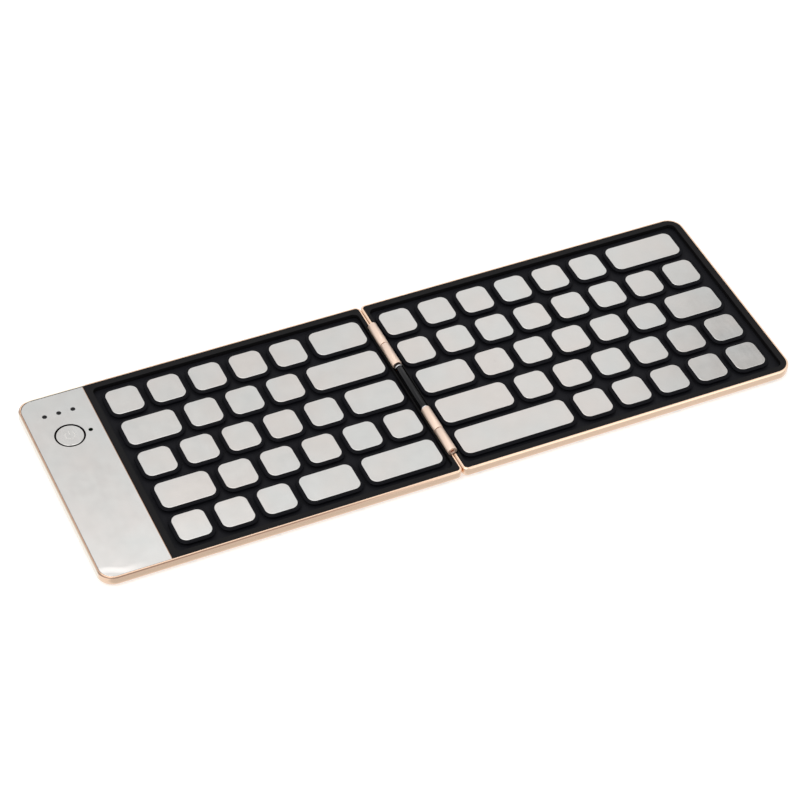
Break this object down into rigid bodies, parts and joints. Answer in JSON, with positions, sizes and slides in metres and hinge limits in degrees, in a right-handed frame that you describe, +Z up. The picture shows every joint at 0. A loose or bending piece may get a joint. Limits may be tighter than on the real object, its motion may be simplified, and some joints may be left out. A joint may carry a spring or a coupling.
{
  "type": "folding keyboard",
  "caption": "Compact keyboard in two slim metal trays that fold face to face about two barrel hinges, with plated keys and a control pad at one end.",
  "frame": {"origin": "under the middle of the fold line, on the surface the feet stand on", "axes": "+X along the right half, +Y to the back, +Z up, opened flat"},
  "size_m": [0.2974, 0.1004, 0.008],
  "materials": {
    "rose_gold_metal": "fine satin anodised",
    "black_frame": "satin moulded",
    "polished_plate": "polished, faintly uneven",
    "button_metal": "polished",
    "dark_lens": "smoked moulded light guide",
    "button_body": "smooth moulded",
    "black_rubber": "matte",
    "switch_film": "printed film",
    "steel_sheet": "rolled",
    "circuit_board": "solder mask",
    "battery_foil": "foil pouch",
    "foot_rubber": "matte",
    "screw_steel": "plated",
    "hinge_metal": "satin anodised",
    "pin_metal": "turned",
    "tube_plastic": "smooth",
    "ring_metal": "bright",
    "cable_jacket": "smooth jacket",
    "key_cap": "gloss moulded",
    "key_plate": "polished, faintly uneven"
  },
  "bodies": {
    "left_half": {"left_case": "rose_gold_metal", "left_deck_frame": "black_frame", "pad_cover": "polished_plate", "status_lenses": "dark_lens", "left_dome_mat": "black_rubber", "left_switch_sheet": "switch_film", "left_backing_plate": "steel_sheet", "controller_board": "circuit_board", "power_switch": "black_frame", "charging_socket": "steel_sheet", "battery": "battery_foil", "left_feet": "foot_rubber", "left_screws": "screw_steel", "rear_hinge_left_leaf": "hinge_metal", "front_hinge_left_leaf": "hinge_metal", "rear_hinge_pin": "pin_metal", "front_hinge_pin": "pin_metal", "cable_tube": "tube_plastic", "tube_rings": "ring_metal", "left_cable_lead": "cable_jacket"},
    "right_half": {"right_case": "rose_gold_metal", "right_deck_frame": "black_frame", "right_dome_mat": "black_rubber", "right_switch_sheet": "switch_film", "right_backing_plate": "steel_sheet", "right_feet": "foot_rubber", "right_screws": "screw_steel", "rear_hinge_right_leaf": "hinge_metal", "front_hinge_right_leaf": "hinge_metal", "right_cable_lead": "cable_jacket"},
    "power_button": {"power_button": "button_body", "power_button_cap": "button_metal"},
    "left_number_row": {"left_number_row_caps": "key_cap", "left_number_row_plates": "key_plate"},
    "left_upper_row": {"left_upper_row_caps": "key_cap", "left_upper_row_plates": "key_plate"},
    "left_home_row": {"left_home_row_caps": "key_cap", "left_home_row_plates": "key_plate"},
    "left_lower_row": {"left_lower_row_caps": "key_cap", "left_lower_row_plates": "key_plate"},
    "left_bottom_row": {"left_bottom_row_caps": "key_cap", "left_bottom_row_plates": "key_plate"},
    "right_number_row": {"right_number_row_caps": "key_cap", "right_number_row_plates": "key_plate"},
    "right_upper_row": {"right_upper_row_caps": "key_cap", "right_upper_row_plates": "key_plate"},
    "right_home_row": {"right_home_row_caps": "key_cap", "right_home_row_plates": "key_plate"},
    "right_lower_row": {"right_lower_row_caps": "key_cap", "right_lower_row_plates": "key_plate"},
    "right_bottom_row": {"right_bottom_row_caps": "key_cap", "right_bottom_row_plates": "key_plate"},
    "left_space": {"left_space_cap": "key_cap", "left_space_plate": "key_plate"},
    "right_space": {"right_space_cap": "key_cap", "right_space_plate": "key_plate"},
    "backspace": {"backspace_cap": "key_cap", "backspace_plate": "key_plate"},
    "enter": {"enter_cap": "key_cap", "enter_plate": "key_plate"}
  },
  "joints": [
    {"name": "fold", "type": "hinge", "parent": "left_half", "child": "right_half", "pos_m": [0, 0, 0.0061], "axis": [0, -1, 0], "range_deg": [0, 180]},
    {"name": "power_button_press", "type": "slide", "parent": "left_half", "child": "power_button", "axis": [0, 0, -1], "range_m": [0, 0.0004], "stiffness_N_per_m": 800, "springref_m": -0.0003, "deforming": ["power_switch"]},
    {"name": "left_number_row_press", "type": "slide", "parent": "left_half", "child": "left_number_row", "axis": [0, 0, -1], "range_m": [0, 0.001], "stiffness_N_per_m": 600, "springref_m": -0.0005, "deforming": ["left_dome_mat"]},
    {"name": "left_upper_row_press", "type": "slide", "parent": "left_half", "child": "left_upper_row", "axis": [0, 0, -1], "range_m": [0, 0.001], "stiffness_N_per_m": 600, "springref_m": -0.0005, "deforming": ["left_dome_mat"]},
    {"name": "left_home_row_press", "type": "slide", "parent": "left_half", "child": "left_home_row", "axis": [0, 0, -1], "range_m": [0, 0.001], "stiffness_N_per_m": 600, "springref_m": -0.0005, "deforming": ["left_dome_mat"]},
    {"name": "left_lower_row_press", "type": "slide", "parent": "left_half", "child": "left_lower_row", "axis": [0, 0, -1], "range_m": [0, 0.001], "stiffness_N_per_m": 600, "springref_m": -0.0005, "deforming": ["left_dome_mat"]},
    {"name": "left_bottom_row_press", "type": "slide", "parent": "left_half", "child": "left_bottom_row", "axis": [0, 0, -1], "range_m": [0, 0.001], "stiffness_N_per_m": 600, "springref_m": -0.0005, "deforming": ["left_dome_mat"]},
    {"name": "right_number_row_press", "type": "slide", "parent": "right_half", "child": "right_number_row", "axis": [0, 0, -1], "range_m": [0, 0.001], "stiffness_N_per_m": 600, "springref_m": -0.0005, "deforming": ["right_dome_mat"]},
    {"name": "right_upper_row_press", "type": "slide", "parent": "right_half", "child": "right_upper_row", "axis": [0, 0, -1], "range_m": [0, 0.001], "stiffness_N_per_m": 600, "springref_m": -0.0005, "deforming": ["right_dome_mat"]},
    {"name": "right_home_row_press", "type": "slide", "parent": "right_half", "child": "right_home_row", "axis": [0, 0, -1], "range_m": [0, 0.001], "stiffness_N_per_m": 600, "springref_m": -0.0005, "deforming": ["right_dome_mat"]},
    {"name": "right_lower_row_press", "type": "slide", "parent": "right_half", "child": "right_lower_row", "axis": [0, 0, -1], "range_m": [0, 0.001], "stiffness_N_per_m": 600, "springref_m": -0.0005, "deforming": ["right_dome_mat"]},
    {"name": "right_bottom_row_press", "type": "slide", "parent": "right_half", "child": "right_bottom_row", "axis": [0, 0, -1], "range_m": [0, 0.001], "stiffness_N_per_m": 600, "springref_m": -0.0005, "deforming": ["right_dome_mat"]},
    {"name": "left_space_press", "type": "slide", "parent": "left_half", "child": "left_space", "axis": [0, 0, -1], "range_m": [0, 0.001], "stiffness_N_per_m": 600, "springref_m": -0.0005, "deforming": ["left_dome_mat"]},
    {"name": "right_space_press", "type": "slide", "parent": "right_half", "child": "right_space", "axis": [0, 0, -1], "range_m": [0, 0.001], "stiffness_N_per_m": 600, "springref_m": -0.0005, "deforming": ["right_dome_mat"]},
    {"name": "backspace_press", "type": "slide", "parent": "right_half", "child": "backspace", "axis": [0, 0, -1], "range_m": [0, 0.001], "stiffness_N_per_m": 600, "springref_m": -0.0005, "deforming": ["right_dome_mat"]},
    {"name": "enter_press", "type": "slide", "parent": "right_half", "child": "enter", "axis": [0, 0, -1], "range_m": [0, 0.001], "stiffness_N_per_m": 600, "springref_m": -0.0005, "deforming": ["right_dome_mat"]}
  ]
}
